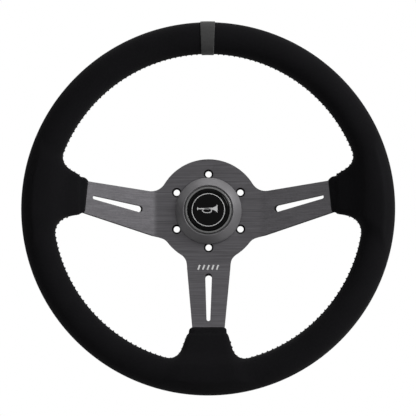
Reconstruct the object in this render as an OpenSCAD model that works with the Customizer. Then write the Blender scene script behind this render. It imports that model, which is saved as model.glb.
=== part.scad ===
// Three-spoke dished steering wheel with a push horn button.
// Millimetres. The origin is the centre of the hub plate's back face, where the wheel bolts to its hub.
// +Z is up (twelve o'clock), +X is to the driver's right and the driver sits on the -Y side.
// Every module below works in the wheel's own axes: x right, y up, z from the hub's back face
// towards the driver. place() turns those axes into the frame above.

/* [Rim and grip] */
// Overall diameter over the cover
wheel_d = 350; // [335:1:380]
// Diameter of the covered grip
grip_d = 30; // [28:0.5:34]
// Thickness of the suede cover
suede_t = 1.2; // [0.8:0.1:1.6]
// Width of the flat ring inside the foam
hoop_w = 12; // [10:0.5:14]
// Thickness of the flat ring
hoop_t = 5; // [4:0.5:6]
// Width of the centre marker band
marker_w = 12.8; // [8:0.2:25]
// Thickness of the centre marker band
marker_t = 0.85; // [0.5:0.05:1.5]
// Diameter of the seam thread
thread_d = 1; // [0.6:0.1:1.4]

/* [Spoke plate] */
// Diameter of the flat hub disc
hub_d = 98.6; // [92:0.2:110]
// Thickness of the spoke plate
plate_t = 5; // [4:0.5:6]
// Depth from the hub's back face to the middle plane of the grip
dish = 45; // [20:1:60]
// Inside radius of the bends that give the dish
bend_r = 12; // [8:1:16]
// Distance of the inner bend from the hub's centre
bend_u = 51.5; // [50:0.5:60]
// Distance of the outer bend inside the grip's centre line
rim_bend_in = 13; // [10:0.5:16]
// Height of a side spoke's upper edge over the hub's centre, at the bend
side_top_hub = 18.2; // [14:0.2:22]
// The same height where the cover starts
side_top_rim = 26.5; // [20:0.5:32]
// Depth of a side spoke's lower edge under the hub's centre, at the bend
side_low_hub = 23.9; // [18:0.2:26]
// The same depth where the cover starts
side_low_rim = 4.2; // [0:0.2:12]
// Half of the bottom spoke's width, at the bend
foot_half_hub = 20.75; // [14:0.25:24]
// Half of the bottom spoke's width, where the cover starts
foot_half_rim = 15.2; // [10:0.2:20]
// Radius of the corner over a side spoke
side_top_fillet = 15; // [8:1:20]
// Radius of the corners beside the bottom spoke and under the side spokes
low_fillet = 12; // [6:1:14]

/* [Spoke slots] */
// Width of a slot at its hub end
slot_wide = 6.3; // [4:0.1:8]
// Width of a slot at its rim end
slot_narrow = 3.5; // [2:0.1:5]
// Distance from the hub disc's edge to the centre of a slot's wide end
slot_hub_gap = 13.3; // [10:0.1:20]
// Extra distance of a side spoke's slot from the hub
side_slot_shift = 2.8; // [0:0.1:6]
// Distance from the centre of a slot's narrow end to the start of the cover
slot_boot_gap = 7; // [4:0.1:12]
// Height of the side slot's wide end over the hub's centre
side_slot_hub_v = 1.6; // [-2:0.1:4]
// Height of the side slot's narrow end over the hub's centre
side_slot_rim_v = 11.2; // [8:0.1:14]

/* [Hub bolts] */
// Diameter of the bolt circle
bolt_pcd = 70; // [70:0.5:74]
// Diameter of a bolt hole
bolt_hole_d = 6; // [5.2:0.1:6.6]
// Diameter of a hole's countersink at the front face
bolt_sink_d = 9; // [8:0.1:11]

/* [Cover over the spokes] */
// How far the padded cover reaches along a side spoke, from the grip's centre line
side_boot_reach = 46; // [38:0.5:50]
// How far the padded cover reaches along the bottom spoke
foot_boot_reach = 49.3; // [40:0.5:52]
// Foam over each face of the spoke at the cover's end
boot_foam = 1.4; // [1:0.1:3]
// How much thicker the padding is where it meets the grip
boot_swell = 7; // [4:0.5:9]
// How much wider than the spoke the padding is where it meets the grip
boot_flare = 36; // [20:1:44]

/* [Horn collar] */
// Width of the collar's foot on the hub plate, outside the plate's centre bore
collar_foot_w = 5.3; // [4:0.1:7]
// Height of the collar's outer edge
collar_edge_h = 3; // [2:0.1:4]
// Height of the collar
collar_h = 11.1; // [9:0.1:14]
// Width of the gap between the collar's mouth and the button
mouth_gap = 1.3; // [0.9:0.1:2]
// Wall of the collar's sleeve, in the hub plate's centre bore
sleeve_wall = 1.7; // [1.5:0.1:2.2]
// Thickness of the gasket under the collar
gasket_t = 0.5; // [0.3:0.1:1]
// How far the collar's sleeve reaches behind the hub plate
sleeve_depth = 8; // [7.5:0.1:10]
// Diameter of the collar's fixing screws
screw_d = 2; // [1.6:0.1:2.5]

/* [Horn button] */
// Outer diameter of the button's metal rim
button_d = 44; // [40:0.2:45]
// Wall of the button's metal rim
rim_wall = 1.9; // [1.2:0.1:3]
// Width of the black dome's shoulder, round the emblem disc
dome_shoulder = 2.8; // [2.7:0.1:5]
// Thickness of the emblem disc
emblem_t = 0.9; // [0.6:0.1:1.2]
// How far the button's rim stands out of the collar
button_proud = 0.9; // [0:0.1:2]
// How far the dome stands out of the rim
dome_proud = 1.1; // [0.5:0.1:2]
// Travel of the button
travel = 2.5; // [1.5:0.1:2.5]
// Mean radius of the spring's coil
spring_r = 9; // [8:0.1:10]
// Diameter of the spring's wire
spring_wire = 1.2; // [0.8:0.1:1.6]
// Number of turns in the spring
spring_turns = 4; // [3:1:6]
// Width of the two blade terminals
blade_w = 6.3; // [4.8:0.1:6.3]
// Thickness of the two blade terminals
blade_t = 0.8; // [0.5:0.1:1]

/* [Hidden] */
$fn = 96;

// Clearances: between parts that only touch, round a shaft, and round the moving button
touch_gap = 0.1;
slip_gap = 0.2;
run_gap = 0.3;
// Extra length of a cutter past the face it cuts
past = 1;
// How far an arc or a straight side runs into the outline that it meets at a tangent
tuck = 0.02;

// Grip: centre circle of the tube, and the radii of the covered and the bare foam tube
grip_r = grip_d / 2;
rim_r = wheel_d / 2 - grip_r;
foam_r = grip_r - suede_t;

// Spoke plate: the tab that carries the flat ring lies in the middle of the grip
hub_r = hub_d / 2;
tab_z = dish - plate_t / 2;
rim_bend_u = rim_r - rim_bend_in;
tilt = atan(tab_z / (rim_bend_u - bend_u));
bend_start_u = bend_u - (bend_r + plate_t) * tan(tilt / 2);
bend_end_u = rim_bend_u + bend_r * tan(tilt / 2);
tab_end_u = rim_r + 4;
bend_steps = 6;
lead_in = 3;

// A spoke's shape: its upper and its lower edge, each as [distance from the centre line at the bend,
// distance where the cover starts, radius of the corner at the hub disc], and where the cover starts
side_boot_u = rim_r - side_boot_reach;
foot_boot_u = rim_r - foot_boot_reach;
SIDE = [[side_top_hub, side_top_rim, side_top_fillet], [side_low_hub, side_low_rim, low_fillet], side_boot_u];
FOOT = [[foot_half_hub, foot_half_rim, low_fillet], [foot_half_hub, foot_half_rim, low_fillet], foot_boot_u];

// Rivets: two through each spoke's tab and the flat ring
rivet_shank_r = 2.4;
rivet_head_r = 3.6;
rivet_head_h = 1.4;
rivet_spread = 2.3;

// Horn unit, as heights over the hub's back face
seat_z = plate_t + gasket_t;
collar_edge_z = seat_z + collar_edge_h;
collar_top_z = seat_z + collar_h;
button_r = button_d / 2;
opening_r = button_r + mouth_gap;
ledge = 0.6;
lip_r = button_r + ledge;
flange_r = lip_r + ledge;
collar_bore_r = flange_r + run_gap;
base_bore_r = collar_bore_r + 0.8;
sleeve_r = base_bore_r + sleeve_wall;
plate_bore_r = sleeve_r + slip_gap;
collar_r = plate_bore_r + collar_foot_w;
base_t = 3;
clip_t = 1;
clip_margin = 1;
base_bottom_z = -(sleeve_depth - clip_t - clip_margin);
base_top_z = base_bottom_z + base_t;
clip_groove_r = base_bore_r + sleeve_wall / 2;
screw_circle_r = (plate_bore_r + collar_r) / 2;
screw_head_r = 0.95 * screw_d;
screw_sink_h = screw_head_r - screw_d / 2;
screw_length = seat_z + 4;

// Moving stack: contact disc, dome foot, rim flange and the lip that holds them in
fixed_contact_z = 3.1;
contact_t = 0.8;
rest_z = fixed_contact_z + contact_t + travel + touch_gap;
moving_contact_r = 17;
foot_z = rest_z + contact_t;
flange_z = foot_z + 2;
flange_h = 2;
lip_z = flange_z + flange_h + slip_gap;
lip_h = 2;
rim_top_z = collar_top_z + button_proud;
rim_inner_r = button_r - rim_wall;
dome_r = rim_inner_r - slip_gap / 2;
dome_foot_r = dome_r + 1;
dome_top_z = rim_top_z + dome_proud;
dome_round = 2.6;
emblem_r = rim_inner_r - dome_shoulder;
contact_screw_r = 1.5;
contact_head_r = 3.2;
contact_head_h = 1.4;
blade_end_z = base_bottom_z - 9;
live_ring_r = 13;
post_wall = 0.2;
earth_r = spring_r + spring_wire / 2 + 0.9;

// ---- Frames and small helpers ----

// From the wheel's own axes to the model's frame
module place() {
    rotate([90, 0, 0]) children();
}

// The three spokes, each drawn along +X: child 0 is a side spoke, child 1 the bottom spoke
module at_spokes() {
    children(0);
    mirror([1, 0, 0]) children(0);
    rotate(-90) children(1);
}

// Solid skinned over a list of rings that all have the same number of points
module skin(rings) {
    n = len(rings[0]);
    last = len(rings) - 1;
    polyhedron(
        points = [for (ring = rings) each ring],
        faces = concat(
            [[for (k = [0 : n - 1]) k]],
            [for (i = [0 : last - 1], k = [0 : n - 1])
                [i * n + k, (i + 1) * n + k, (i + 1) * n + (k + 1) % n]],
            [for (i = [0 : last - 1], k = [0 : n - 1])
                [i * n + k, (i + 1) * n + (k + 1) % n, i * n + (k + 1) % n]],
            [[for (k = [n - 1 : -1 : 0]) last * n + k]]
        )
    );
}

// Ring of rectangular section
module ring(inner_r, outer_r, low_z, high_z) {
    difference() {
        translate([0, 0, low_z]) cylinder(r = outer_r, h = high_z - low_z);
        translate([0, 0, low_z - past]) cylinder(r = inner_r, h = high_z - low_z + 2 * past);
    }
}

// Round tube round the wheel's axis, over the angle from start to start + turn
module tube_arc(circle_r, tube_r, start, turn) {
    translate([0, 0, dish]) rotate(start)
        rotate_extrude(angle = turn) translate([circle_r, 0]) circle(r = tube_r, $fn = 48);
}

// ---- Spoke outline ----

// Distance of a spoke's edge from its centre line, without the corner, at distance u from the hub's centre
function edge_rate(edge, boot_u) = (edge[1] - edge[0]) / (boot_u - bend_u);
function straight_edge(edge, boot_u, u) = edge[0] + edge_rate(edge, boot_u) * (u - bend_u);

// Centre of the corner arc that touches the hub disc and the edge from outside
function corner_centre(edge, boot_u) =
    let (a = atan(edge_rate(edge, boot_u)),
         q = straight_edge(edge, boot_u, 0) * cos(a) + edge[2],
         t = sqrt((hub_r + edge[2]) ^ 2 - q ^ 2))
    [t * cos(a) - q * sin(a), t * sin(a) + q * cos(a)];

// Where the corner arc meets the straight edge
function corner_end(edge, boot_u) =
    let (a = atan(edge_rate(edge, boot_u)), c = corner_centre(edge, boot_u))
    [c[0] + edge[2] * sin(a), c[1] - edge[2] * cos(a)];

// The edge with its corner arc
function spoke_edge(edge, boot_u, u) =
    let (c = corner_centre(edge, boot_u))
    u < corner_end(edge, boot_u)[0]
        ? c[1] - sqrt(edge[2] ^ 2 - (u - c[0]) ^ 2)
        : straight_edge(edge, boot_u, u);

// Stations along the bent sheet, each [u, z] of the front face and the sheet's tilt there
function slope_station(u) =
    [u, plate_t / cos(tilt) + (u - bend_u) * tan(tilt), tilt];
function spoke_stations(corner_u) =
    let (arc_end_u = bend_start_u + bend_r * sin(tilt),
         corner_step = max(corner_u - arc_end_u, 1) / 2,
         outer_r = bend_r + plate_t)
    concat(
        [[bend_start_u - lead_in, plate_t, 0]],
        [for (i = [0 : bend_steps]) let (t = tilt * i / bend_steps)
            [bend_start_u + bend_r * sin(t), plate_t + bend_r * (1 - cos(t)), t]],
        [for (i = [1 : 2]) slope_station(arc_end_u + i * corner_step)],
        [for (i = [0 : bend_steps]) let (t = tilt * (1 - i / bend_steps))
            [bend_end_u - outer_r * sin(t), tab_z + plate_t - outer_r * (1 - cos(t)), t]],
        [[tab_end_u, tab_z + plate_t, 0]]
    );

// Ring of four corners of the sheet at a station, grown on every side
function sheet_ring(shape, st, grow, narrow) =
    let (top = spoke_edge(shape[0], shape[2], st[0]) + grow - narrow,
         low = -spoke_edge(shape[1], shape[2], st[0]) - grow + narrow,
         front = [st[0] - grow * sin(st[2]), st[1] + grow * cos(st[2])],
         back = [st[0] + (plate_t + grow) * sin(st[2]), st[1] - (plate_t + grow) * cos(st[2])])
    [[back[0], low, back[1]], [back[0], top, back[1]], [front[0], top, front[1]], [front[0], low, front[1]]];

// The sloping part of a spoke, from inside the hub disc to the end of its tab
module spoke_sheet(shape, grow = 0) {
    corner_u = max(corner_end(shape[0], shape[2])[0], corner_end(shape[1], shape[2])[0]);
    stations = spoke_stations(corner_u);
    skin([for (i = [0 : len(stations) - 1]) sheet_ring(shape, stations[i], grow, i == 0 ? 1 : 0)]);
}

// Flat corner piece between the hub disc and one edge of a spoke
module corner_piece(edge, boot_u) {
    c = corner_centre(edge, boot_u);
    difference() {
        linear_extrude(plate_t)
            polygon([[0, 0], corner_end(edge, boot_u), c, c * hub_r / (hub_r + edge[2])]);
        translate([c[0], c[1], -past]) cylinder(r = edge[2] + tuck, h = plate_t + 2 * past);
    }
}

// Flat root of a spoke, as far as the bend
module spoke_root(shape) {
    linear_extrude(plate_t) polygon([
        [0, -straight_edge(shape[1], shape[2], 0)], [bend_start_u, -straight_edge(shape[1], shape[2], bend_start_u)],
        [bend_start_u, straight_edge(shape[0], shape[2], bend_start_u)], [0, straight_edge(shape[0], shape[2], 0)]
    ]);
    corner_piece(shape[0], shape[2]);
    mirror([0, 1, 0]) corner_piece(shape[1], shape[2]);
}

// Space past the bend, where the flat root ends and the sloping sheet takes over
module past_bend() {
    translate([bend_start_u, -hub_r, -past]) cube([hub_r, 2 * hub_r, plate_t + 2 * past]);
}

// Tapered slot through the sloping sheet, from one round end to the other, given in the front view
module slot_cut(from, to) {
    s = [for (p = [from, to]) [(p[0] - bend_u + plate_t * sin(tilt)) / cos(tilt), p[1]]];
    r = [slot_wide / 2, slot_narrow / 2];
    run = s[1] - s[0];
    a = atan2(run[1], run[0]);
    b = acos((r[0] - r[1]) / norm(run));
    function rim_point(i, side) = s[i] + (r[i] - tuck) * [cos(a + side * b), sin(a + side * b)];
    translate([bend_u, 0, 0]) rotate([0, -tilt, 0]) translate([0, 0, -past]) {
        for (i = [0, 1]) translate(s[i]) cylinder(r = r[i], h = plate_t + 2 * past);
        linear_extrude(plate_t + 2 * past)
            polygon([rim_point(0, -1), rim_point(1, -1), rim_point(1, 1), rim_point(0, 1)]);
    }
}

// Centre of a rivet, by its number from 1 to 6: two on each spoke, on the grip's centre circle
tab_mid_v = (straight_edge(SIDE[0], SIDE[2], rim_r) - straight_edge(SIDE[1], SIDE[2], rim_r)) / 2;
side_tab_angle = asin(tab_mid_v / rim_r);
tab_angles = [side_tab_angle, 180 - side_tab_angle, -90];
function rivet_angle(number) =
    tab_angles[floor((number - 1) / 2)] + (number % 2 == 1 ? -rivet_spread : rivet_spread);
module at_rivet(number) {
    rotate(rivet_angle(number)) translate([rim_r, 0, 0]) children();
}

// Rivet turned about its own axis, grown on every side for the hollow in the foam
module rivet(grow = 0) {
    low = tab_z - hoop_t - rivet_head_h - grow;
    high = tab_z + plate_t + rivet_head_h + grow;
    head_h = rivet_head_h + grow;
    for (z = [low, high - head_h]) translate([0, 0, z]) cylinder(r = rivet_head_r + grow, h = head_h);
    translate([0, 0, low]) cylinder(r = rivet_shank_r, h = high - low);
}

// ---- Spoke plate and flat ring ----

module spoke_plate() {
    color("dimgray") place() difference() {
        union() {
            difference() {
                union() {
                    cylinder(r = hub_r, h = plate_t);
                    at_spokes() {
                        spoke_root(SIDE);
                        spoke_root(FOOT);
                    }
                }
                at_spokes() {
                    past_bend();
                    past_bend();
                }
            }
            at_spokes() {
                spoke_sheet(SIDE);
                spoke_sheet(FOOT);
            }
        }
        translate([0, 0, -past]) cylinder(r = plate_bore_r, h = plate_t + 2 * past);
        for (i = [0 : 5]) rotate(30 + 60 * i) translate([bolt_pcd / 2, 0, 0]) bolt_hole();
        for (i = [1 : 3]) at_collar_screw(i) screw_hole();
        at_spokes() {
            slot_cut([hub_r + slot_hub_gap + side_slot_shift, side_slot_hub_v],
                     [side_boot_u - slot_boot_gap, side_slot_rim_v]);
            slot_cut([hub_r + slot_hub_gap, 0], [foot_boot_u - slot_boot_gap, 0]);
        }
        for (i = [1 : 6]) at_rivet(i)
            translate([0, 0, tab_z - past]) cylinder(r = rivet_shank_r + touch_gap, h = plate_t + 2 * past);
    }
}

// Through hole with a 90 degree countersink at the front face
module bolt_hole() {
    hole_r = bolt_hole_d / 2;
    sink_r = bolt_sink_d / 2;
    translate([0, 0, -past]) cylinder(r = hole_r, h = plate_t + 2 * past);
    translate([0, 0, plate_t - (sink_r - hole_r)])
        cylinder(r1 = hole_r, r2 = sink_r + past, h = sink_r - hole_r + past);
}

// Countersunk hole from the back face for a collar screw
module screw_hole() {
    translate([0, 0, -past]) cylinder(r = screw_d / 2 + touch_gap, h = plate_t + 2 * past);
    translate([0, 0, -past])
        cylinder(r1 = screw_head_r + touch_gap + past, r2 = screw_d / 2 + touch_gap, h = screw_sink_h + past);
}

module at_collar_screw(number) {
    rotate(120 * (number - 1)) translate([screw_circle_r, 0, 0]) children();
}

module rim_hoop() {
    color("gray") place() difference() {
        ring(rim_r - hoop_w / 2, rim_r + hoop_w / 2, tab_z - hoop_t, tab_z);
        for (i = [1 : 6]) at_rivet(i)
            translate([0, 0, tab_z - hoop_t - past]) cylinder(r = rivet_shank_r + touch_gap, h = hoop_t + 2 * past);
    }
}

module spoke_rivet(number) {
    color("silver") place() at_rivet(number) rivet();
}

// ---- Foam, cover and stitching ----

boot_points = 16;
boot_steps = 7;

// Padding over a spoke: rounded sections along the sheet that swell into the grip. grow adds the cover.
function boot_ring(shape, share, grow) =
    let (span = rim_r - shape[2],
         u = shape[2] + share * span,
         wide = boot_foam + boot_flare * (0.35 * share + 0.65 * share ^ 3),
         top = straight_edge(shape[0], shape[2], u) + wide,
         low = -straight_edge(shape[1], shape[2], u) - wide,
         half_t = plate_t / 2 / cos(tilt),
         mid_z = min((u - bend_u) * tan(tilt) + half_t, dish),
         half_v = (top - low) / 2 + grow,
         half_z = half_t + boot_foam + boot_swell * share + grow)
    [for (k = [0 : boot_points - 1])
        let (a = 360 * (k + 0.5) / boot_points,
             c = sign(cos(a)) * sqrt(abs(cos(a))),
             s = sign(sin(a)) * sqrt(abs(sin(a))))
        [share == 0 ? u - grow : u, (top + low) / 2 + half_v * c, mid_z + half_z * s]];

module boot(shape, grow) {
    skin([for (i = [0 : boot_steps]) boot_ring(shape, 0.9 * i / boot_steps, grow)]);
}

// Grip tube and the three padded spoke ends
module grip_form(tube_r, grow) {
    translate([0, 0, dish]) rotate_extrude() translate([rim_r, 0]) circle(r = tube_r, $fn = 48);
    at_spokes() {
        boot(SIDE, grow);
        boot(FOOT, grow);
    }
}

module foam_grip() {
    color("black") place() difference() {
        grip_form(foam_r, 0);
        ring(rim_r - hoop_w / 2 - touch_gap, rim_r + hoop_w / 2 + touch_gap,
             tab_z - hoop_t - touch_gap, tab_z + touch_gap);
        at_spokes() {
            spoke_sheet(SIDE, touch_gap);
            spoke_sheet(FOOT, touch_gap);
        }
        for (i = [1 : 6]) at_rivet(i) rivet(touch_gap);
    }
}

module suede_cover() {
    color("black") place() difference() {
        grip_form(grip_r, suede_t);
        grip_form(foam_r + touch_gap, touch_gap);
        at_spokes() {
            spoke_sheet(SIDE, touch_gap);
            spoke_sheet(FOOT, touch_gap);
        }
        for (run = SEAMS) tube_arc(seam_r, thread_d / 2 + 2 * touch_gap, run[0], run[1] - run[0]);
    }
}

// Band round the grip at twelve o'clock
marker_turn = 2 * asin(marker_w / 2 / rim_r);
module centre_marker() {
    color("gray") place() difference() {
        tube_arc(rim_r, grip_r + touch_gap + marker_t, 90 - marker_turn / 2, marker_turn);
        tube_arc(rim_r, grip_r + touch_gap, 90 - marker_turn, 2 * marker_turn);
    }
}

// Seam along the inside of the grip, in four runs between the padded spoke ends and the marker
seam_r = rim_r - grip_r + thread_d / 2 - 0.3;
function boot_side_angle(edge, boot_u) =
    asin(min(0.9, (straight_edge(edge, boot_u, rim_r) + boot_flare * 0.62) / (rim_r - grip_r)));
seam_top = boot_side_angle(SIDE[0], SIDE[2]) + 1;
seam_side = -boot_side_angle(SIDE[1], SIDE[2]) - 1;
seam_foot = -90 + boot_side_angle(FOOT[0], FOOT[2]) + 1;
seam_marker = 90 - marker_turn / 2 - 0.3;
SEAMS = [[seam_top, seam_marker], [180 - seam_marker, 180 - seam_top], [seam_foot, seam_side],
         [-180 - seam_side, -180 - seam_foot]];

module seam_run(number) {
    run = SEAMS[number];
    color("dimgray") place() tube_arc(seam_r, thread_d / 2, run[0] + 0.1, run[1] - run[0] - 0.2);
}

// ---- Horn collar ----

module horn_collar() {
    corner = 0.6;
    mouth = 0.7;
    color("gray") place() difference() {
        rotate_extrude() polygon([
            [base_bore_r, -sleeve_depth], [sleeve_r, -sleeve_depth], [sleeve_r, seat_z], [collar_r, seat_z],
            [collar_r, collar_edge_z - corner], [collar_r - corner, collar_edge_z],
            [opening_r + mouth, collar_top_z], [opening_r, collar_top_z - mouth / 2],
            [opening_r, lip_z + lip_h], [lip_r, lip_z + lip_h], [lip_r, lip_z], [collar_bore_r, lip_z],
            [collar_bore_r, base_top_z], [base_bore_r, base_top_z]
        ]);
        ring(collar_bore_r - past, clip_groove_r, base_bottom_z - clip_t - touch_gap / 2, base_bottom_z);
        for (i = [1 : 3]) at_collar_screw(i)
            translate([0, 0, seat_z - past]) cylinder(r = screw_d / 2 + touch_gap / 2, h = screw_length - seat_z + past);
    }
}

module collar_gasket() {
    color("black") place() difference() {
        ring(sleeve_r + slip_gap, collar_r - 0.5, plate_t, seat_z);
        for (i = [1 : 3]) at_collar_screw(i)
            translate([0, 0, plate_t - past]) cylinder(r = screw_d / 2 + slip_gap, h = gasket_t + 2 * past);
    }
}

module collar_screw(number) {
    color("silver") place() at_collar_screw(number) {
        cylinder(r1 = screw_head_r, r2 = screw_d / 2, h = screw_sink_h);
        cylinder(r = screw_d / 2, h = screw_length - touch_gap);
    }
}

// ---- Button: everything that moves ----

module button_rim() {
    edge = 0.35;
    color("dimgray") place() rotate_extrude() polygon([
        [rim_inner_r, flange_z], [flange_r, flange_z], [flange_r, flange_z + flange_h],
        [button_r, flange_z + flange_h], [button_r, rim_top_z - edge], [button_r - edge, rim_top_z],
        [rim_inner_r + edge, rim_top_z], [rim_inner_r, rim_top_z - edge]
    ]);
}

// Turned dome: a foot under the rim, a rounded shoulder and a flat recess for the emblem
module button_dome() {
    boss_r = 8;
    color("black") place() difference() {
        rotate_extrude() polygon(concat(
            [[0, foot_z], [dome_foot_r, foot_z], [dome_foot_r, flange_z], [dome_r, flange_z]],
            [for (i = [0 : 8]) let (t = 90 * i / 8)
                [dome_r - dome_round * (1 - cos(t)), dome_top_z - dome_round * (1 - sin(t))]],
            [[0, dome_top_z]]
        ));
        translate([0, 0, dome_top_z - emblem_t]) cylinder(r = emblem_r + touch_gap, h = emblem_t + past);
        translate([0, 0, foot_z - past]) cylinder(r = contact_screw_r + touch_gap / 2, h = 5 + past);
    }
}

module emblem_disc() {
    color("white") place() translate([0, 0, dome_top_z - emblem_t]) cylinder(r = emblem_r, h = emblem_t + touch_gap);
}

module moving_contact() {
    color("goldenrod") place() ring(contact_screw_r + touch_gap, moving_contact_r, rest_z, foot_z);
}

module contact_screw() {
    color("silver") place() {
        translate([0, 0, rest_z - contact_head_h]) cylinder(r = contact_head_r, h = contact_head_h);
        translate([0, 0, rest_z - past / 2]) cylinder(r = contact_screw_r, h = contact_t + 4.5);
    }
}

// ---- Switch under the button ----

spring_low_z = base_top_z + blade_t;
spring_sides = 8;
spring_steps = 16;
// Coil between the earth washer and the moving contact
module horn_spring() {
    low = spring_low_z + spring_wire / 2 + touch_gap / 2;
    rise = rest_z - spring_wire / 2 - touch_gap / 2 - low;
    count = spring_turns * spring_steps;
    color("silver") place() skin([for (i = [0 : count])
        let (a = 360 * i / spring_steps)
        [for (k = [0 : spring_sides - 1])
            let (b = -360 * k / spring_sides, r = spring_r + spring_wire / 2 * cos(b))
            [r * cos(a), r * sin(a), low + rise * i / count + spring_wire / 2 * sin(b)]]
    ]);
}

// Earth contact: a washer under the spring with a blade terminal through the base
module spring_contact() {
    color("goldenrod") place() {
        ring(spring_r - 3, earth_r, base_top_z, spring_low_z);
        translate([-earth_r - blade_t, -blade_w / 2, blade_end_z]) cube([blade_t, blade_w, spring_low_z - blade_end_z]);
        translate([-earth_r - blade_t, -blade_w / 2, base_top_z]) cube([5, blade_w, blade_t]);
    }
}

// Live contact: a ring on the base's wall with a blade terminal through the base
module fixed_contact() {
    live_blade_x = moving_contact_r + post_wall + touch_gap;
    color("goldenrod") place() {
        ring(live_ring_r, moving_contact_r, fixed_contact_z, fixed_contact_z + contact_t);
        translate([live_blade_x, -blade_w / 2, blade_end_z])
            cube([blade_t, blade_w, fixed_contact_z + contact_t - blade_end_z]);
        translate([live_blade_x + blade_t - 3, -blade_w / 2, fixed_contact_z]) cube([3, blade_w, contact_t]);
    }
}

module switch_base() {
    live_blade_x = moving_contact_r + post_wall + touch_gap;
    color("black") place() difference() {
        union() {
            translate([0, 0, base_bottom_z]) cylinder(r = base_bore_r - touch_gap, h = base_t);
            ring(live_ring_r - post_wall, moving_contact_r + post_wall, base_top_z - past, fixed_contact_z);
        }
        for (x = [-earth_r - blade_t, live_blade_x])
            translate([x - touch_gap, -blade_w / 2 - touch_gap, base_bottom_z - past])
                cube([blade_t + 2 * touch_gap, blade_w + 2 * touch_gap, base_t + 2 * past]);
    }
}

// Open ring in the sleeve's groove, under the base
module base_circlip() {
    gap_angle = 24;
    color("silver") place() translate([0, 0, base_bottom_z - clip_t]) rotate(-90 + gap_angle / 2)
        rotate_extrude(angle = 360 - gap_angle)
            translate([base_bore_r - 1.2, 0]) square([clip_groove_r - touch_gap - base_bore_r + 1.2, clip_t]);
}

spoke_plate();
rim_hoop();
spoke_rivet(1);  // spoke_rivet_1
spoke_rivet(2);  // spoke_rivet_2
spoke_rivet(3);  // spoke_rivet_3
spoke_rivet(4);  // spoke_rivet_4
spoke_rivet(5);  // spoke_rivet_5
spoke_rivet(6);  // spoke_rivet_6
foam_grip();
suede_cover();
centre_marker();
seam_run(0);  // seam_upper_right
seam_run(1);  // seam_upper_left
seam_run(2);  // seam_lower_right
seam_run(3);  // seam_lower_left
horn_collar();
collar_gasket();
collar_screw(1);  // collar_screw_1
collar_screw(2);  // collar_screw_2
collar_screw(3);  // collar_screw_3
button_rim();
button_dome();
emblem_disc();
moving_contact();
contact_screw();
horn_spring();
spring_contact();
fixed_contact();
switch_base();
base_circlip();
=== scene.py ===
# %% [markdown]
# A three-spoke dished steering wheel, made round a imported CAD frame.
# The CAD holds every part at its real size. This script dresses it: a suede-covered grip, brushed
# spokes, a turned horn collar and a polished button, and then a studio to look at them in.
# Everything is in metres. +Y points away from the driver, +Z is twelve o'clock, +X is to the right.

# %% Load the frame
import bpy
import bmesh
import numpy as np
from math import radians, degrees, sin, cos, tan, atan, atan2, pi
from mathutils import Matrix, Vector
from mathutils.bvhtree import BVHTree


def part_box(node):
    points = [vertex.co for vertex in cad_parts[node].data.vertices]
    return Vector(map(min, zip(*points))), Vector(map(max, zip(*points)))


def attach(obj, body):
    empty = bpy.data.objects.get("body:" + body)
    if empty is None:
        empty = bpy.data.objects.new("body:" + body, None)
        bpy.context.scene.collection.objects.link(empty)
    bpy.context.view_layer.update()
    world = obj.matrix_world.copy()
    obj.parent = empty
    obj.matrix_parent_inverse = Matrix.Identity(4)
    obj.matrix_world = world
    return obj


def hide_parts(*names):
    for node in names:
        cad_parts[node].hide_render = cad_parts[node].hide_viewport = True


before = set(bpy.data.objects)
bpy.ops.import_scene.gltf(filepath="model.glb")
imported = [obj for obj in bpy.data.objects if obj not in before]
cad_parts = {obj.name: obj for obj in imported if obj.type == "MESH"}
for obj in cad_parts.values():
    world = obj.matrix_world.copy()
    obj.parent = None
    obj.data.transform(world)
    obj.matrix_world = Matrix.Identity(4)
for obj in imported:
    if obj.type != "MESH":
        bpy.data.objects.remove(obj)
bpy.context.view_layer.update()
MM = 0.001

# %% [markdown]
# The grip, the dish and the spokes are read from the frame's own boxes, so the dressing always fits
# the CAD. The hoop lies in the middle plane of the grip, just behind the spokes' flat tabs.

# %% Sizes read from the frame
def span(node, axis):
    """Lowest and highest coordinate of a CAD node along one axis."""
    low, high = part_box(node)
    return low[axis], high[axis]

HOOP_LOW, HOOP_HIGH = span("rim_hoop", 0)
COVER_LOW, COVER_HIGH = span("suede_cover", 0)
PLATE_FRONT, PLATE_BACK = span("spoke_plate", 1)
PLATE_T = 5 * MM
HOOP_W = 12 * MM
RIM_R = HOOP_HIGH - HOOP_W / 2
GRIP_R = COVER_HIGH - RIM_R
DISH = -PLATE_FRONT - PLATE_T / 2
SUEDE_T = 1.2 * MM
BEND_U = 51.5 * MM
RIM_BEND_U = RIM_R - 13 * MM
TILT = atan((DISH - PLATE_T / 2) / (RIM_BEND_U - BEND_U))
print(f"grip centre radius {RIM_R:.4f}, tube radius {GRIP_R:.4f}, dish {DISH:.4f}, tilt {degrees(TILT):.1f} deg")

# %% [markdown]
# Most shapes here are round about the wheel's axis, so they are easiest to work out in the wheel's own
# axes: x right, y up and z from the hub's back face towards the driver. One function turns such points
# into the frame's axes, and one turns a grid of points into a mesh.

# %% Helpers for surfaces
def to_row(points):
    """Wheel axes (x, y, z) to the frame's axes (x, -z, y)."""
    p = np.asarray(points, float)
    return np.stack([p[..., 0], -p[..., 2], p[..., 1]], axis=-1)


def grid_faces(rows, cols, close_rows, close_cols):
    """Quads of a rows by cols grid of points, joined round where a direction is closed."""
    i = np.arange(rows if close_rows else rows - 1)
    j = np.arange(cols if close_cols else cols - 1)
    i, j = np.meshgrid(i, j, indexing="ij")
    i2, j2 = (i + 1) % rows, (j + 1) % cols
    quads = np.stack([i * cols + j, i * cols + j2, i2 * cols + j2, i2 * cols + j], axis=-1)
    return quads.reshape(-1, 4)


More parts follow.
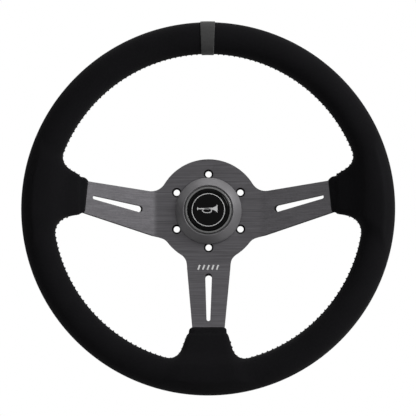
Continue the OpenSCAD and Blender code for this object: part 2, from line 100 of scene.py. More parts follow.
def make_piece(name, points, faces, smooth=True):
    """A mesh object at the origin from points in the wheel's axes and a list of faces."""
    mesh = bpy.data.meshes.new(name)
    mesh.from_pydata(to_row(points).reshape(-1, 3).tolist(), [], [list(map(int, f)) for f in faces])
    mesh.validate()
    mesh.polygons.foreach_set("use_smooth", np.full(len(mesh.polygons), smooth))
    mesh.update()
    piece = bpy.data.objects.new(name, mesh)
    bpy.context.scene.collection.objects.link(piece)
    return piece


def face_outwards(piece):
    """Merges doubled points and turns every face of a closed piece outwards."""
    work = bmesh.new()
    work.from_mesh(piece.data)
    bmesh.ops.remove_doubles(work, verts=work.verts, dist=1e-6)
    bmesh.ops.recalc_face_normals(work, faces=work.faces)
    work.to_mesh(piece.data)
    work.free()
    piece.data.update()
    return piece


def crease_by_angle(piece, angle=32):
    """Smooth shading, with edges sharper than the angle kept crisp."""
    piece.data.set_sharp_from_angle(angle=radians(angle))
    return piece


def place_piece(piece, material, body, replaces=()):
    """Gives a finished piece its material, its body and the CAD nodes it stands for."""
    piece.data.materials.clear()
    piece.data.materials.append(material)
    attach(piece, body)
    if replaces:
        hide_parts(*replaces)
    print(f"{piece.name}: {len(piece.data.polygons)} faces")
    return piece


def lathe(name, profile, steps=192, closed=True):
    """Turns a closed outline of (radius, height) points round the wheel's axis."""
    r, z = np.asarray(profile, float).T
    turn = np.linspace(0, 2 * pi, steps, endpoint=False)[:, None]
    points = np.stack([r * np.cos(turn), r * np.sin(turn), z + 0 * turn], axis=-1)
    piece = make_piece(name, points, grid_faces(steps, len(r), True, closed))
    return crease_by_angle(face_outwards(piece))


def rounded(outline, radii, steps=5):
    """Outline with each corner replaced by an arc that is tangent to both of its sides."""
    points = np.asarray(outline, float)
    result = []
    for k, radius in enumerate(radii):
        here = points[k]
        before, after = points[k - 1] - here, points[(k + 1) % len(points)] - here
        if radius == 0:
            result.append(here)
            continue
        a, b = before / np.linalg.norm(before), after / np.linalg.norm(after)
        half = np.arccos(np.clip(a @ b, -1, 1)) / 2
        middle = (a + b) / np.linalg.norm(a + b)
        centre = here + middle * radius / sin(half)
        start, end = here + a * radius / tan(half) - centre, here + b * radius / tan(half) - centre
        share = np.linspace(0, 1, steps)[:, None]
        arc = start * (1 - share) + end * share
        result.extend(centre + arc * radius / np.linalg.norm(arc, axis=1, keepdims=True))
    return np.array(result)

# %% [markdown]
# Shader maths reads best as plain expressions. A small class wraps a node's output socket, so that
# `0.4 + 0.1 * noise` adds the Math nodes by itself. Any other node comes from the `add` method.

# %% Shader maths as expressions
class Value:
    """An output socket that can be used in an expression."""

    def __init__(self, tree, socket):
        self.tree, self.socket = tree, socket

    def _math(self, operation, first, second):
        return self.tree.add("ShaderNodeMath", {"operation": operation}, [first, second])

    def __add__(self, other):
        return self._math("ADD", self, other)

    def __radd__(self, other):
        return self._math("ADD", other, self)

    def __sub__(self, other):
        return self._math("SUBTRACT", self, other)

    def __rsub__(self, other):
        return self._math("SUBTRACT", other, self)

    def __mul__(self, other):
        return self._math("MULTIPLY", self, other)

    def __rmul__(self, other):
        return self._math("MULTIPLY", other, self)


class Finish:
    """A material whose Principled shader gets its constants on its own sockets."""

    def __init__(self, name, **constants):
        self.material = bpy.data.materials.new(name)
        self.material.use_nodes = True
        self.nodes = self.material.node_tree.nodes
        self.shader = self.nodes["Principled BSDF"]
        for socket, value in constants.items():
            self.shader.inputs[socket.replace("_", " ")].default_value = value

    def add(self, kind, settings=None, inputs=(), output=0):
        """Adds a node of that type, with its settings first and then the values or links of its sockets."""
        node = self.nodes.new(kind)
        for key, value in (settings or {}).items():
            setattr(node, key, value)
        pairs = inputs.items() if isinstance(inputs, dict) else enumerate(inputs)
        for key, value in pairs:
            self.connect(node.inputs[key], value)
        return Value(self, node.outputs[output])

    def connect(self, socket, value):
        if isinstance(value, Value):
            self.material.node_tree.links.new(value.socket, socket)
        else:
            socket.default_value = value

    def drive(self, socket, value):
        self.connect(self.shader.inputs[socket], value)
        return self

    def place(self, scale=(1, 1, 1)):
        """Object coordinates, stretched by a scale for each axis."""
        where = self.add("ShaderNodeTexCoord", output="Object")
        return self.add("ShaderNodeMapping", inputs={"Vector": where, "Scale": scale})

    def noise(self, where, scale, detail=3.0, roughness=0.55):
        """Even noise between 0 and 1."""
        return self.add("ShaderNodeTexNoise", inputs={"Vector": where, "Scale": scale, "Detail": detail,
                                                      "Roughness": roughness}, output="Fac")

    def mix(self, factor, dark, light):
        """Colour between dark and light."""
        return self.add("ShaderNodeMix", {"data_type": "RGBA"}, {"Factor": factor, 6: dark, 7: light}, output=2)

    def bump(self, height, distance, strength=1.0):
        """Surface relief of that depth in metres."""
        return self.add("ShaderNodeBump", inputs={"Height": height, "Distance": distance, "Strength": strength})


def grey(level, warm=0.0):
    """A near-neutral colour, a little warmer or cooler."""
    return (level * (1 + warm), level, level * (1 - warm), 1)

# %% [markdown]
# Suede is leather with its nap raised: hardly any shine, a soft pale bloom where the light grazes it,
# and cloudy patches where the nap lies another way. Fine noise gives the nap, broad noise the patches.

# %% Suede and thread
def suede(name, dark, light, sheen):
    finish = Finish(name, Roughness=0.92, Sheen_Weight=sheen, Sheen_Roughness=0.45)
    finish.shader.inputs["Specular IOR Level"].default_value = 0.04
    where = finish.place()
    nap = finish.noise(where, 1900, 4, 0.65)
    patches = finish.noise(where, 38, 3, 0.6)
    fleck = finish.noise(where, 520, 2, 0.5)
    finish.drive("Base Color", finish.mix(0.5 * patches + 0.5 * fleck, dark, light))
    finish.drive("Roughness", 0.84 + 0.14 * nap)
    finish.drive("Normal", finish.bump(nap + 0.6 * fleck, 0.00022, 0.6))
    return finish.material

cover_suede = suede("black_suede", (0.0044, 0.0042, 0.0049, 1), (0.0102, 0.0099, 0.0112, 1), 0.05)
marker_suede = suede("grey_suede", grey(0.045), grey(0.085), 0.3)

def waxed_thread(name, level):
    finish = Finish(name, Roughness=0.62)
    where = finish.place()
    twist = finish.noise(where, 2600, 2)
    finish.drive("Base Color", finish.mix(twist, grey(level * 0.6), grey(level * 1.4)))
    finish.drive("Normal", finish.bump(twist, 0.0001, 0.7))
    return finish.material

seam_thread = waxed_thread("black_waxed_thread", 0.009)

# %% [markdown]
# The spokes are brushed before they are anodised: one set of fine scratches, all along X. Noise that is
# stretched a hundredfold along X gives the scratches, and a second, coarser one gives the soft bands.

# %% Metals
def brushed_anodised(name, dark, light):
    finish = Finish(name, Metallic=0.75, Roughness=0.4)
    fine = finish.noise(finish.place((9, 300, 900)), 5, 3, 0.6)
    bands = finish.noise(finish.place((3, 40, 240)), 4, 3, 0.6)
    wear = finish.noise(finish.place(), 60, 3)
    streaks = 2.3 * (0.6 * fine + 0.4 * bands) - 0.65
    finish.drive("Base Color", finish.mix(streaks, dark, light))
    finish.drive("Roughness", 0.33 + 0.16 * fine + 0.06 * wear)
    finish.drive("Normal", finish.bump(fine + 0.5 * bands, 0.00007, 0.9))
    return finish.material

def satin_metal(name, dark, light, metallic, rough):
    finish = Finish(name, Metallic=metallic, Roughness=rough)
    grain = finish.noise(finish.place(), 2400, 3)
    cloud = finish.noise(finish.place(), 90, 2)
    finish.drive("Base Color", finish.mix(0.5 * grain + 0.5 * cloud, dark, light))
    finish.drive("Roughness", rough - 0.05 + 0.1 * grain)
    finish.drive("Normal", finish.bump(grain, 0.00002, 0.5))
    return finish.material

spoke_finish = brushed_anodised("brushed_gunmetal", (0.035, 0.0335, 0.036, 1), (0.122, 0.118, 0.127, 1))
collar_finish = satin_metal("satin_grey", (0.158, 0.154, 0.16, 1), (0.196, 0.192, 0.2, 1), 0.35, 0.48)
button_finish = satin_metal("satin_dark_grey", grey(0.12), grey(0.16), 0.6, 0.38)
steel_finish = satin_metal("plain_steel", grey(0.42), grey(0.55), 1.0, 0.35)
spring_finish = satin_metal("spring_steel", grey(0.35), grey(0.45), 1.0, 0.3)
brass_finish = satin_metal("bright_brass", (0.62, 0.44, 0.17, 1), (0.74, 0.55, 0.25, 1), 1.0, 0.28)

# %% Plastics, rubber and print
def moulded(name, dark, light, rough, coat=0.0, shine=0.5):
    finish = Finish(name, Roughness=rough, Coat_Weight=coat, Coat_Roughness=0.04)
    grain = finish.noise(finish.place(), 900, 3)
    finish.drive("Base Color", finish.mix(grain, dark, light))
    finish.drive("Roughness", rough - 0.02 + 0.04 * grain)
    finish.shader.inputs["Specular IOR Level"].default_value = shine
    return finish.material

gloss_black = moulded("gloss_black", grey(0.002), grey(0.0035), 0.09, 0.03, 0.04)
# Painted shade: near-black for the plate's cut walls, the sides of its slots, holes and outline, which look darker
# than the anodised faces only where shade falls on them.
cut_wall_painted_shade = moulded("painted_shade_cut_wall", grey(0.003), grey(0.006), 0.6, 0.0, 0.03)
nylon = moulded("black_nylon", grey(0.02), grey(0.03), 0.5)
rubber = moulded("black_rubber", grey(0.012), grey(0.02), 0.8)
foam_finish = moulded("black_foam", grey(0.012), grey(0.02), 0.95)
white_print = moulded("white_print", grey(0.6), grey(0.68), 0.45)
print("materials:", len(bpy.data.materials))

# %% [markdown]
# The grip is a padded tube whose three padded spoke ends flow into it. As a formula it is one smooth
# solid: a ring tube and three rounded boots, joined by a soft minimum that rounds the inside corners.
# From every point of the ring's centre line, rays go out all round, and each stops where the solid
# ends. That gives one closed grid, dense where the boots and the seam need it.

# %% The grip as one smooth solid
SIDE_BOOT_U = RIM_R - 46 * MM
FOOT_BOOT_U = RIM_R - 49.3 * MM

# Edge of a spoke: distance from its centre line at the bend and where the cover starts, and how the
# cover stands off it: at its end, per metre inwards, and per square metre
SIDE_TOP = (18.2 * MM, 26.5 * MM, 2.6 * MM, 0.32, 4.0)
SIDE_LOW = (23.9 * MM, 4.2 * MM, 1.0 * MM, 0.24, 12.0)
FOOT_RIGHT = (20.75 * MM, 15.2 * MM, 1.7 * MM, 0.32, 2.0)
FOOT_LEFT = (20.75 * MM, 15.2 * MM, 2.3 * MM, 0.45, 0.0)

# Crease where the cover's end is rolled under: its place from the end, half width and depth
CREASE_IN, CREASE_HALF, CREASE_DEPTH = 5.5 * MM, 1.5 * MM, 1.4 * MM

# Spokes as (angle of the spoke's own axis, mirrored or not, upper edge, lower edge, cover's start)
SPOKES = [(0.0, 1, SIDE_TOP, SIDE_LOW, SIDE_BOOT_U), (pi, -1, SIDE_TOP, SIDE_LOW, SIDE_BOOT_U),
          (-pi / 2, 1, FOOT_RIGHT, FOOT_LEFT, FOOT_BOOT_U)]


def edge_line(edge, boot_u, u):
    """Straight edge of a spoke at distance u from the hub's centre."""
    return edge[0] + (edge[1] - edge[0]) * (u - BEND_U) / (boot_u - BEND_U)


def soft_min(a, b, reach):
    """The smaller of two distances, rounded off where they are nearly the same."""
    h = np.maximum(reach - np.abs(a - b), 0) / reach
    return np.minimum(a, b) - h * h * reach / 4


def spoke_axes(x, y, spoke):
    """Distance along a spoke and across it, with its upper edge on the positive side."""
    angle, flip = spoke[0], spoke[1]
    return x * cos(angle) + y * sin(angle), flip * (y * cos(angle) - x * sin(angle))


def boot_distance(x, y, z, spoke, grow):
    """Roughly the distance to one padded spoke end: a rounded box across the sheet, cut off square."""
    u, v = spoke_axes(x, y, spoke)
    top_edge, low_edge, boot_u = spoke[2:]
    inwards = np.maximum(u - boot_u, 0)
    top = edge_line(top_edge, boot_u, u) + top_edge[2] + top_edge[3] * inwards + top_edge[4] * inwards ** 2
    low = -edge_line(low_edge, boot_u, u) - low_edge[2] - low_edge[3] * inwards - low_edge[4] * inwards ** 2
    crease = CREASE_DEPTH * np.exp(-(((u - boot_u - CREASE_IN) / CREASE_HALF) ** 2))
    half_v = (top - low) / 2 + grow - crease
    half_t = PLATE_T / 2 + 2.7 * MM + 0.13 * inwards + grow - crease
    middle = np.minimum((u - BEND_U) * tan(TILT) + PLATE_T / 2 / cos(TILT), DISH)
    corner = half_t * 0.8
    side_v = np.abs(v - (top + low) / 2) - half_v + corner
    side_t = np.abs(z - middle) * cos(TILT) - half_t + corner
    across = (np.hypot(np.maximum(side_v, 0), np.maximum(side_t, 0))
              + np.minimum(np.maximum(side_v, side_t), 0) - corner)
    lean = (0.1 if boot_u == SIDE_BOOT_U else 0) * (v - (top + low) / 2)
    end = boot_u - grow - u - lean
    outside = -soft_min(-across, -end, 5 * MM)
    return np.maximum(outside, np.hypot(u, v) - RIM_R)


def grip_distance(x, y, z, grow=0.0):
    """Distance to the covered grip: less than nothing inside it."""
    tube = np.hypot(np.hypot(x, y) - RIM_R, z - DISH) - GRIP_R - grow
    boots = np.minimum.reduce([boot_distance(x, y, z, spoke, grow) for spoke in SPOKES])
    return soft_min(tube, boots, 13 * MM)

# %% Rays from the ring's centre line
BOOT_ANGLES = np.array([atan2(11.5, 135), pi - atan2(11.5, 135), -pi / 2])
BOOT_DOWN = radians(17.7)
FAN_HALF = 0.14
SEAM_TOP = radians(180)


def turned(angle):
    """An angle brought into the range from -pi to pi."""
    return (angle + pi) % (2 * pi) - pi


def boot_share(theta, reach):
    """1 at the middle of a boot and 0 beyond the reach, with the signed angle from that boot."""
    away = turned(theta[..., None] - BOOT_ANGLES)
    nearest = np.take_along_axis(away, np.abs(away).argmin(-1)[..., None], -1)[..., 0]
    share = np.clip(1 - np.abs(nearest) / reach, 0, 1)
    return share * share * (3 - 2 * share), nearest


def seam_angle(theta):
    """Where the seam lies round the tube: straight inwards, and down along the boots' sides."""
    share, _ = boot_share(theta, 0.42)
    return pi + BOOT_DOWN * share


def ray_ways(theta, phi):
    """Direction of each ray: round the tube by phi, fanned out sideways over the boots."""
    _, away = boot_share(theta, 0.42)
    fan = np.clip(away / FAN_HALF, -1, 1) * np.clip((0.42 - np.abs(away)) / (0.42 - FAN_HALF), 0, 1)
    inwards = np.maximum(-np.cos(phi), 0) ** 2
    sideways = 0.85 * fan * inwards
    out, up = np.cos(phi), np.sin(phi)
    x = out * np.cos(theta) - sideways * np.sin(theta)
    y = out * np.sin(theta) + sideways * np.cos(theta)
    length = np.sqrt(x ** 2 + y ** 2 + up ** 2)
    return x / length, y / length, up / length


def grip_point(theta, phi, grow=0.0, lift=0.0):
    """Point where the ray (theta, phi) leaves the grip, found by halving the range 40 times."""
    theta, phi = np.broadcast_arrays(np.asarray(theta, float), np.asarray(phi, float))
    dx, dy, dz = ray_ways(theta, phi)
    near, far = np.full(theta.shape, 5 * MM), np.full(theta.shape, 75 * MM)
    cx, cy = RIM_R * np.cos(theta), RIM_R * np.sin(theta)
    for _ in range(40):
        middle = (near + far) / 2
        inside = grip_distance(cx + dx * middle, cy + dy * middle, DISH + dz * middle, grow) < 0
        near, far = np.where(inside, middle, near), np.where(inside, far, middle)
    reach = near + lift
    return np.stack([cx + dx * reach, cy + dy * reach, DISH + dz * reach], axis=-1), reach


def dense_steps(count, weight, start):
    """Angles all round, closer together where the weight is high."""
    even = np.linspace(start, start + 2 * pi, 4001)
    total = np.concatenate([[0], np.cumsum((weight(even[1:]) + weight(even[:-1])) / 2)])
    return np.interp(np.linspace(0, total[-1], count, endpoint=False), total, even)


def around_weight(theta):
    away = np.abs(turned(theta[:, None] - BOOT_ANGLES)).min(-1)
    return 1 + 3.2 * np.exp(-((away / 0.2) ** 4))


def section_weight(phi):
    away = turned(phi - pi - BOOT_DOWN * 0.5)
    return 1 + 4.5 * np.exp(-((away / 0.42) ** 2))


theta_steps = dense_steps(760, around_weight, -pi)
phi_steps = dense_steps(112, section_weight, 0)
print("grip grid:", len(theta_steps), "x", len(phi_steps))

# %% The cover, with its sewn groove
GROOVE_HALF = 1.0 * MM
GROOVE_DEPTH = 0.7 * MM

def grip_surface(name, theta, phi, grow, groove):
    """Grid of ray ends; the groove pulls the surface in along the seam line."""
    t, p = np.meshgrid(theta, phi, indexing="ij")
    points, reach = grip_point(t, p, grow)
    if groove:
        off = turned(p - seam_angle(t)) * reach
        share, away = boot_share(t, 0.42)
        fade = np.clip((np.abs(away) - 0.045) / 0.02, 0, 1)
        dip = GROOVE_DEPTH * np.exp(-((off / GROOVE_HALF) ** 2)) * fade
        points, _ = grip_point(t, p, grow, -dip)
    return face_outwards(make_piece(name, points, grid_faces(len(theta), len(phi), True, True)))

cover = grip_surface("suede_grip_cover", theta_steps, phi_steps, 0.0, True)
place_piece(cover, cover_suede, "wheel", ["suede_cover"])

foam = grip_surface("foam_padding", dense_steps(300, around_weight, -pi), dense_steps(48, section_weight, 0),
                    -SUEDE_T - 0.1 * MM, False)
place_piece(foam, foam_finish, "wheel", ["foam_grip"])

# %% [markdown]
# The two edges of the cover meet inside the rim and are drawn together with waxed thread. Each stitch
# is a short bridge over the groove: a bent tube that dips into the suede at both ends.

# %% Stitches over the seam
STITCH_PITCH = 5.0 * MM
STITCH_HALF = 1.7 * MM
THREAD_R = 0.42 * MM

def seam_stations(low, high):
    """Angles along a stretch of the seam, one stitch pitch apart along the surface."""
    theta = np.linspace(low, high, 1600)
    path, _ = grip_point(theta, seam_angle(theta))
    run = np.concatenate([[0], np.cumsum(np.linalg.norm(np.diff(path, axis=0), axis=1))])
    count = max(int(run[-1] / STITCH_PITCH), 2)
    return np.interp((np.arange(count) + 0.5) * run[-1] / count, run, theta)


def stitch_row(name, low, high, sides=6, rings=9):
    """All stitches of one stretch, as one grid each, computed together as whole arrays."""
    theta = seam_stations(low, high)
    phi = seam_angle(theta)
    base, reach = grip_point(theta, phi)
    ahead, _ = grip_point(theta + 0.002, seam_angle(theta + 0.002))
    along = (ahead - base) / np.linalg.norm(ahead - base, axis=1, keepdims=True)
    one, _ = grip_point(theta, phi + 0.02)
    other, _ = grip_point(theta, phi - 0.02)
    across = one - other
    across -= (across * along).sum(1, keepdims=True) * along
    across /= np.linalg.norm(across, axis=1, keepdims=True)
    out = np.cross(across, along)
    dx, dy, dz = ray_ways(theta, phi)
    out *= np.sign((out * np.stack([dx, dy, dz], -1)).sum(1, keepdims=True))
    across = across + 0.35 * along
    across /= np.linalg.norm(across, axis=1, keepdims=True)
    share = np.linspace(-1, 1, rings)
    height = (0.35 * MM) - (1.15 * MM) * np.abs(share) ** 3.2
    line = (base[:, None] + across[:, None] * (share * STITCH_HALF)[None, :, None]
            + out[:, None] * height[None, :, None])
    turn = np.linspace(0, 2 * pi, sides, endpoint=False)
    radius = THREAD_R * np.sqrt(1 - 0.75 * share ** 8)
    loop = (np.cos(turn)[None, None, :, None] * along[:, None, None]
            + np.sin(turn)[None, None, :, None] * out[:, None, None]) * radius[None, :, None, None]
    tubes = line[:, :, None] + loop
    faces = grid_faces(rings, sides, False, True)
    caps = [list(range(sides))[::-1], list(range((rings - 1) * sides, rings * sides))]
    every = []
    for k in range(len(theta)):
        every.extend((faces + k * rings * sides).tolist())
        every.extend([[i + k * rings * sides for i in cap] for cap in caps])
    return face_outwards(make_piece(name, tubes, every))

side_in = float(BOOT_ANGLES[0])
NEAR_BOOT = 0.06
MARKER_HALF = np.arcsin(6.4 * MM / RIM_R) + 0.012
seams = {
    "seam_upper_right": (side_in + NEAR_BOOT, pi / 2 - MARKER_HALF),
    "seam_upper_left": (pi / 2 + MARKER_HALF, pi - side_in - NEAR_BOOT),
    "seam_lower_right": (-pi / 2 + NEAR_BOOT, side_in - NEAR_BOOT),
    "seam_lower_left": (pi - side_in + NEAR_BOOT, 3 * pi / 2 - NEAR_BOOT),
}
for node, (low, high) in seams.items():
    place_piece(stitch_row(node + "_stitches", low, high), seam_thread, "wheel", [node])

# %% [markdown]
# The marker is a strip of grey suede round the rim at twelve o'clock. Its section is a thin rounded
# bar, carried once round the tube.

# %% Centre marker
def marker_band(name, half_width, thickness):
    """Rounded bar section carried round the tube; its width runs along the rim."""
    corner = rounded([(-half_width, -0.3 * MM), (half_width, -0.3 * MM), (half_width, thickness),
                      (-half_width, thickness)], [0, 0, 0.7 * thickness, 0.7 * thickness], 6)
    width = np.concatenate([np.linspace(corner[k], corner[(k + 1) % len(corner)], 2, endpoint=False)
                            for k in range(len(corner))])
    phi = np.linspace(0, 2 * pi, 120, endpoint=False)
    w, p = width[None, :, 0], phi[:, None]
    radius = GRIP_R + width[None, :, 1]
    theta = pi / 2 + w / RIM_R
    ring = RIM_R + radius * np.cos(p)
    points = np.stack([ring * np.cos(theta), ring * np.sin(theta), DISH + radius * np.sin(p)], axis=-1)
    return crease_by_angle(face_outwards(make_piece(name, points, grid_faces(len(phi), len(width), True, True))), 50)

place_piece(marker_band("centre_marker_band", 6.4 * MM, 0.9 * MM), marker_suede, "wheel", ["centre_marker"])

# %% [markdown]
# The spoke plate is already right in the CAD, but its edges are knife sharp. A merged copy gets a small
# bevel, as deburring and anodising leave it, so that every edge catches a line of light.

# %% Spoke plate with eased edges
def eased_copy(node, name, width, flat_angle=1.0, bevel_angle=35):
    """A merged copy of a CAD node with its flat areas made whole and its edges bevelled."""
    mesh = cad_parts[node].data.copy()
    mesh.name = name
    work = bmesh.new()
    work.from_mesh(mesh)
    bmesh.ops.remove_doubles(work, verts=work.verts, dist=5e-6)
    bmesh.ops.dissolve_limit(work, angle_limit=radians(flat_angle), verts=work.verts, edges=work.edges)
    work.to_mesh(mesh)
    work.free()
    piece = bpy.data.objects.new(name, mesh)
    bpy.context.scene.collection.objects.link(piece)
    mesh.polygons.foreach_set("use_smooth", np.full(len(mesh.polygons), True))
    bevel = piece.modifiers.new("ease", "BEVEL")
    bevel.width, bevel.segments, bevel.limit_method = width, 2, "ANGLE"
    bevel.angle_limit = radians(bevel_angle)
    bevel.harden_normals = True
    bevel.use_clamp_overlap = True
    return crease_by_angle(piece, 30)

CUT_WALL = 0.8
plate = eased_copy("spoke_plate", "brushed_spoke_plate", 0.15 * MM)
place_piece(plate, spoke_finish, "wheel", ["spoke_plate"])
# The cut walls are the faces that look neither towards nor away from the driver. They get the near-black painted shade
# instead of the plate's anodised tone.
plate.data.materials.append(cut_wall_painted_shade)
for face in plate.data.polygons:
    face.material_index = int(abs(face.normal.y) < CUT_WALL)

# %% [markdown]
# The horn collar and the button are turned parts, so each is one profile carried round the axis. Their
# profiles start from the CAD's own boxes and get the small radii that a turning tool leaves.

# %% Collar and button
def heights(node):
    """Lowest and highest height of a node over the hub's back face, and its radius."""
    low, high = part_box(node)
    return -high[1], -low[1], high[0]

collar_low, collar_top, collar_r = heights("horn_collar")
rim_low, rim_top, flange_r = heights("button_rim")
dome_low, dome_top, dome_foot_r = heights("button_dome")
emblem_low, emblem_top, emblem_r = heights("emblem_disc")
seat = PLATE_T + 0.5 * MM
opening_r, lip_r, bore_r, sleeve_r, base_r = 23.3 * MM, 22.6 * MM, 23.5 * MM, 26.0 * MM, 24.3 * MM
collar_profile = rounded(
    [(base_r, collar_low), (sleeve_r, collar_low), (sleeve_r, seat), (collar_r, seat), (collar_r, seat + 3 * MM),
     (opening_r + 0.5 * MM, collar_top), (opening_r, collar_top - 0.5 * MM), (opening_r, rim_low + 4.2 * MM),
     (lip_r, rim_low + 4.2 * MM), (lip_r, rim_low + 2.2 * MM), (bore_r, rim_low + 2.2 * MM),
     (bore_r, -3 * MM), (base_r, -3 * MM)],
    [0, 0.3 * MM, 0, 0.3 * MM, 0.9 * MM, 0.4 * MM, 0.2 * MM, 0, 0, 0, 0, 0, 0])
collar = lathe("horn_collar_turned", collar_profile)
place_piece(collar, collar_finish, "wheel", ["horn_collar"])

inner_r, outer_r = 20.1 * MM, 22.0 * MM
rim_profile = rounded(
    [(inner_r, rim_low), (flange_r, rim_low), (flange_r, rim_low + 2 * MM), (outer_r, rim_low + 2 * MM),
     (outer_r, rim_top), (inner_r, rim_top)],
    [0, 0, 0.2 * MM, 0, 0.6 * MM, 0.5 * MM])
place_piece(lathe("button_rim_turned", rim_profile), button_finish, "horn_button", ["button_rim"])

dome_r = 20.0 * MM
dome_profile = rounded(
    [(0, dome_low), (dome_foot_r, dome_low), (dome_foot_r, rim_low), (dome_r, rim_low), (dome_r, dome_top),
     (emblem_r + 0.35 * MM, dome_top), (emblem_r + 0.1 * MM, emblem_low + 0.3 * MM), (0, emblem_low + 0.3 * MM)],
    [0, 0, 0, 0, 2.2 * MM, 0.15 * MM, 0, 0], 9)
place_piece(lathe("button_dome_polished", dome_profile, closed=True), gloss_black, "horn_button",
            ["button_dome"])

# %% [markdown]
# A badge would sit in the middle of the button. In its place is a plain white ring and the usual
# pictogram of a horn, both thin inlays in a polished black disc.

# %% Emblem disc with ring and horn sign
disc_top = emblem_top
disc_profile = rounded([(0, emblem_low + 0.35 * MM), (emblem_r, emblem_low + 0.35 * MM), (emblem_r, disc_top), (0, disc_top)],
                       [0, 0, 0.35 * MM, 0], 6)
place_piece(lathe("emblem_disc_polished", disc_profile), gloss_black, "horn_button", ["emblem_disc"])

def ribbon(name, line, half_width, low, high, closed=False):
    """Flat strip with a thickness: a centre line with a width at each point, between two heights."""
    line, half_width = np.asarray(line, float), np.asarray(half_width, float)
    if closed:
        way = np.roll(line, -1, 0) - np.roll(line, 1, 0)
    else:
        way = np.gradient(line, axis=0)
    way /= np.linalg.norm(way, axis=1, keepdims=True)
    side = np.stack([-way[:, 1], way[:, 0]], -1) * half_width[:, None]
    left, right = line + side, line - side
    corners = [np.column_stack([p, np.broadcast_to(h, len(p))]) for p, h in
               ((left, low), (right, low), (right, high), (left, high))]
    points = np.stack(corners, axis=1)
    faces = grid_faces(len(line), 4, closed, True).tolist()
    if not closed:
        last = (len(line) - 1) * 4
        faces += [[3, 2, 1, 0], [last, last + 1, last + 2, last + 3]]
    return crease_by_angle(face_outwards(make_piece(name, points, faces)))

PRINT_LOW, PRINT_HIGH = disc_top - 0.05 * MM, disc_top + 0.03 * MM
turn = np.linspace(0, 2 * pi, 160, endpoint=False)
white_ring = ribbon("white_ring", 15.4 * MM * np.stack([np.cos(turn), np.sin(turn)], -1), np.full(160, 0.31 * MM),
                    PRINT_LOW, PRINT_HIGH, True)
place_piece(white_ring, white_print, "horn_button")

bell = np.linspace(0, 1, 24)
bell_line = np.stack([(-9.8 + 18.4 * bell) * MM, np.full(24, 1.1 * MM)], -1)
bell_width = (0.5 + 0.6 * bell ** 2 + 2.9 * bell ** 9) * MM
loop = np.linspace(0, 2 * pi, 60, endpoint=False)
loop_line = np.stack([(-1.2 + 4.3 * np.cos(loop)) * MM, (-0.8 + 1.9 * np.sin(loop)) * MM], -1)
mouth_line = np.stack([np.full(2, -10.2) * MM, np.array([-0.2, 2.4]) * MM], -1)
for name, line, width, closed in (("horn_sign_bell", bell_line, bell_width, False),
                                  ("horn_sign_loop", loop_line, np.full(60, 0.36 * MM), True),
                                  ("horn_sign_mouth", mouth_line, np.full(2, 0.4 * MM), False)):
    place_piece(ribbon(name, line, width, PRINT_LOW, PRINT_HIGH, closed), white_print, "horn_button")

# %% [markdown]
# Lower down, where the foot spoke bends forward, wheels like this carry a printed mark. A row of plain
# slanted ticks takes its place. Each tick is laid on the plate by looking at it from the driver's side.

# %% Ticks on the foot spoke
TICK_COUNT, TICK_PITCH, TICK_HALF = 5, 4.4 * MM, 1.15 * MM
TICK_DOWN, TICK_TALL, TICK_SLANT = 54 * MM, 4.6 * MM, 1.6 * MM
plate_tree = BVHTree.FromPolygons([v.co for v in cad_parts["spoke_plate"].data.vertices],
                                  [p.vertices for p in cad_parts["spoke_plate"].data.polygons])

def plate_height(x, y):
    """Height of the plate's front face at a place seen from the driver's side."""
    place, *_ = plate_tree.ray_cast(Vector((x, -0.1, y)), Vector((0, 1, 0)))
    return -place.y

along = np.linspace(-0.5, 0.5, 9)
for k in range(TICK_COUNT):
    line = np.stack([(k - (TICK_COUNT - 1) / 2) * TICK_PITCH + along * TICK_SLANT,
                     -TICK_DOWN + along * TICK_TALL], -1)
    under = np.array([plate_height(x, y) for x, y in line])
    tick = ribbon(f"foot_spoke_tick_{k + 1}", line, np.full(len(line), TICK_HALF), under - 0.1 * MM, under + 0.05 * MM)
    place_piece(tick, white_print, "wheel")

# %% [markdown]
# The parts behind the button are seen from the back only. Their CAD shapes are right, so they keep
# them and get their finishes.

# %% Finishes of the carried-over parts
CARRIED = {
    "rim_hoop": steel_finish, "collar_gasket": rubber, "moving_contact": brass_finish,
    "contact_screw": steel_finish, "horn_spring": spring_finish, "spring_contact": brass_finish,
    "fixed_contact": brass_finish, "switch_base": nylon, "base_circlip": spring_finish,
}
CARRIED.update({f"spoke_rivet_{k}": steel_finish for k in range(1, 7)})
CARRIED.update({f"collar_screw_{k}": steel_finish for k in range(1, 4)})
for node, material in CARRIED.items():
    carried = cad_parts[node]
    carried.data.materials.clear()
    carried.data.materials.append(material)
print("carried over:", len(CARRIED), "nodes")

# %% [markdown]
# The studio: a pale floor well below the wheel, one broad key light up on the right and weaker fills. The sky and the
# far part of the floor show plain white to the camera and in reflections, while the lamps and a faint sky light the
# wheel.

# %% Studio
FLOOR_Z, FLOOR_REACH = -0.8, 9
FADE_START, FADE_END = 0.9, 2.6


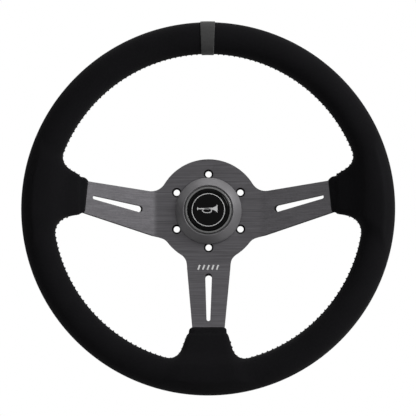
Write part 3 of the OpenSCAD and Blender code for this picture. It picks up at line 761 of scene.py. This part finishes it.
def stage_floor(level):
    """Pale floor that keeps the wheel's shadow near by and turns plain white farther out."""
    mesh = bpy.data.meshes.new("floor")
    mesh.from_pydata([(x * FLOOR_REACH, y * FLOOR_REACH, FLOOR_Z) for x, y in ((-1, -1), (1, -1), (1, 1), (-1, 1))],
                     [], [(0, 1, 2, 3)])
    plane = bpy.data.objects.new("floor", mesh)
    bpy.context.scene.collection.objects.link(plane)
    finish = Finish("floor_paint", Roughness=0.9)
    finish.shader.inputs["Base Color"].default_value = grey(level)
    reach = finish.add("ShaderNodeVectorMath", {"operation": "LENGTH"}, [finish.place()], "Value")
    far = finish.add("ShaderNodeMapRange", inputs={"Value": reach, "From Min": FADE_START, "From Max": FADE_END})
    shown = [finish.add("ShaderNodeLightPath", output=f"Is {kind} Ray") for kind in ("Camera", "Glossy", "Transmission")]
    glow = finish.nodes.new("ShaderNodeEmission")
    mixer = finish.nodes.new("ShaderNodeMixShader")
    links = finish.material.node_tree.links
    finish.connect(mixer.inputs[0], far * (shown[0] + shown[1] + shown[2]))
    links.new(finish.shader.outputs[0], mixer.inputs[1])
    links.new(glow.outputs[0], mixer.inputs[2])
    links.new(mixer.outputs[0], finish.nodes["Material Output"].inputs["Surface"])
    plane.data.materials.append(finish.material)
    return plane

stage_floor(0.82)

def area_light(name, place, target, size, power):
    light = bpy.data.lights.new(name, "AREA")
    light.shape, light.size, light.size_y, light.energy = "RECTANGLE", size[0], size[1], power
    lamp = bpy.data.objects.new(name, light)
    lamp.location = place
    lamp.rotation_euler = (Vector(target) - Vector(place)).to_track_quat("-Z", "Y").to_euler()
    bpy.context.scene.collection.objects.link(lamp)
    return lamp

middle = (0, -DISH, 0)
area_light("key", (1.7, -1.3, 1.1), middle, (1.0, 1.0), 48)
area_light("fill_left", (-1.9, -0.9, 0.7), middle, (1.2, 1.2), 3)
area_light("top_back", (0.0, 0.2, 2.2), middle, (1.6, 0.8), 8)

world = bpy.data.worlds.new("studio")
bpy.context.scene.world = world
world.use_nodes = True
sky = world.node_tree.nodes["Background"]
paths = world.node_tree.nodes.new("ShaderNodeLightPath")
shown = [world.node_tree.nodes.new("ShaderNodeMath") for _ in range(2)]
strength = world.node_tree.nodes.new("ShaderNodeMath")
strength.operation = "MULTIPLY_ADD"
for step in shown:
    step.operation, step.use_clamp = "ADD", True
strength.inputs[1].default_value, strength.inputs[2].default_value = 0.9, 0.1
for source, socket in ((paths.outputs["Is Camera Ray"], shown[0].inputs[0]),
                       (paths.outputs["Is Glossy Ray"], shown[0].inputs[1]),
                       (shown[0].outputs[0], shown[1].inputs[0]),
                       (paths.outputs["Is Transmission Ray"], shown[1].inputs[1]),
                       (shown[1].outputs[0], strength.inputs[0])):
    world.node_tree.links.new(source, socket)
world.node_tree.links.new(strength.outputs[0], sky.inputs["Strength"])
sky.inputs["Color"].default_value = (1, 1, 1, 1)

# %% Camera
VIEW_DISTANCE = 2.29
VIEW_RIGHT, VIEW_BELOW, VIEW_ROLL = radians(0.75), radians(3.85), radians(-0.1)
way = Vector((sin(VIEW_RIGHT) * cos(VIEW_BELOW), -cos(VIEW_RIGHT) * cos(VIEW_BELOW), -sin(VIEW_BELOW)))
camera_data = bpy.data.cameras.new("camera")
camera_data.sensor_width, camera_data.lens = 36, 211.8
camera = bpy.data.objects.new("camera", camera_data)
camera.location = Vector(middle) + way * VIEW_DISTANCE
camera.rotation_euler = ((-way).to_track_quat("-Z", "Y").to_matrix() @ Matrix.Rotation(VIEW_ROLL, 3, "Z")).to_euler()
bpy.context.scene.collection.objects.link(camera)
bpy.context.scene.camera = camera
bpy.context.scene.view_settings.view_transform = "Standard"
